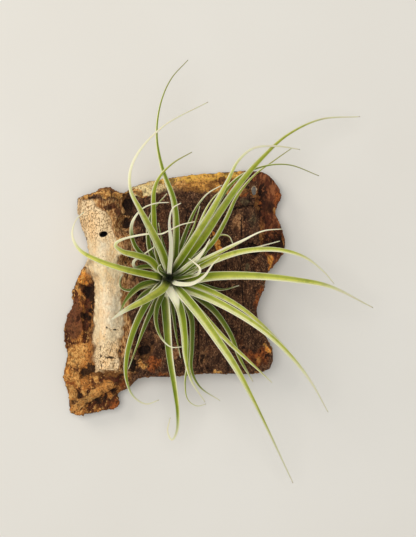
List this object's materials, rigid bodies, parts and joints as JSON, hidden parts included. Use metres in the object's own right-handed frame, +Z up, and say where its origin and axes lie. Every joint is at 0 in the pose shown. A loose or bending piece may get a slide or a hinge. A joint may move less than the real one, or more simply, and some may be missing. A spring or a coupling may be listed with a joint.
{
  "type": "air plant on cork bark",
  "caption": "Rosette of narrow arching channelled leaves with thread-like tips round a short stem, seated by wiry roots on a rough slab of cork bark.",
  "frame": {"origin": "on the resting plane under the plant's stem, in the flat spot of the slab's under face", "axes": "+Z up out of the slab, +Y along the ridge of the bark towards the sloping edge, +X towards the torn flap's side"},
  "size_m": [0.1567, 0.2118, 0.0909],
  "materials": {
    "bark": "rough matt cork bark, pale on the ridge and dark brown in the furrows",
    "root": "matt wiry roots",
    "stem": "matt, pale and scurfy",
    "leaf": "satin green under fine silver scales, paler along the margins and at the base"
  },
  "bodies": {
    "root": {"cork_bark": "bark", "roots": "root", "stem": "stem", "leaf_01": "leaf", "leaf_02": "leaf", "leaf_03": "leaf", "leaf_04": "leaf", "leaf_05": "leaf", "leaf_06": "leaf", "leaf_07": "leaf", "leaf_08": "leaf", "leaf_09": "leaf", "leaf_10": "leaf", "leaf_11": "leaf", "leaf_12": "leaf", "leaf_13": "leaf", "leaf_14": "leaf", "leaf_15": "leaf", "leaf_16": "leaf", "leaf_17": "leaf", "leaf_18": "leaf", "leaf_19": "leaf", "leaf_20": "leaf", "leaf_21": "leaf", "leaf_22": "leaf", "leaf_23": "leaf", "leaf_24": "leaf", "leaf_25": "leaf", "leaf_26": "leaf", "leaf_27": "leaf", "leaf_28": "leaf", "leaf_29": "leaf", "leaf_30": "leaf", "leaf_31": "leaf", "leaf_32": "leaf", "leaf_33": "leaf", "leaf_34": "leaf", "leaf_35": "leaf", "leaf_36": "leaf", "leaf_37": "leaf", "leaf_38": "leaf", "leaf_39": "leaf", "leaf_40": "leaf", "leaf_41": "leaf", "leaf_42": "leaf", "leaf_43": "leaf", "leaf_44": "leaf", "leaf_45": "leaf"}
  },
  "joints": []
}
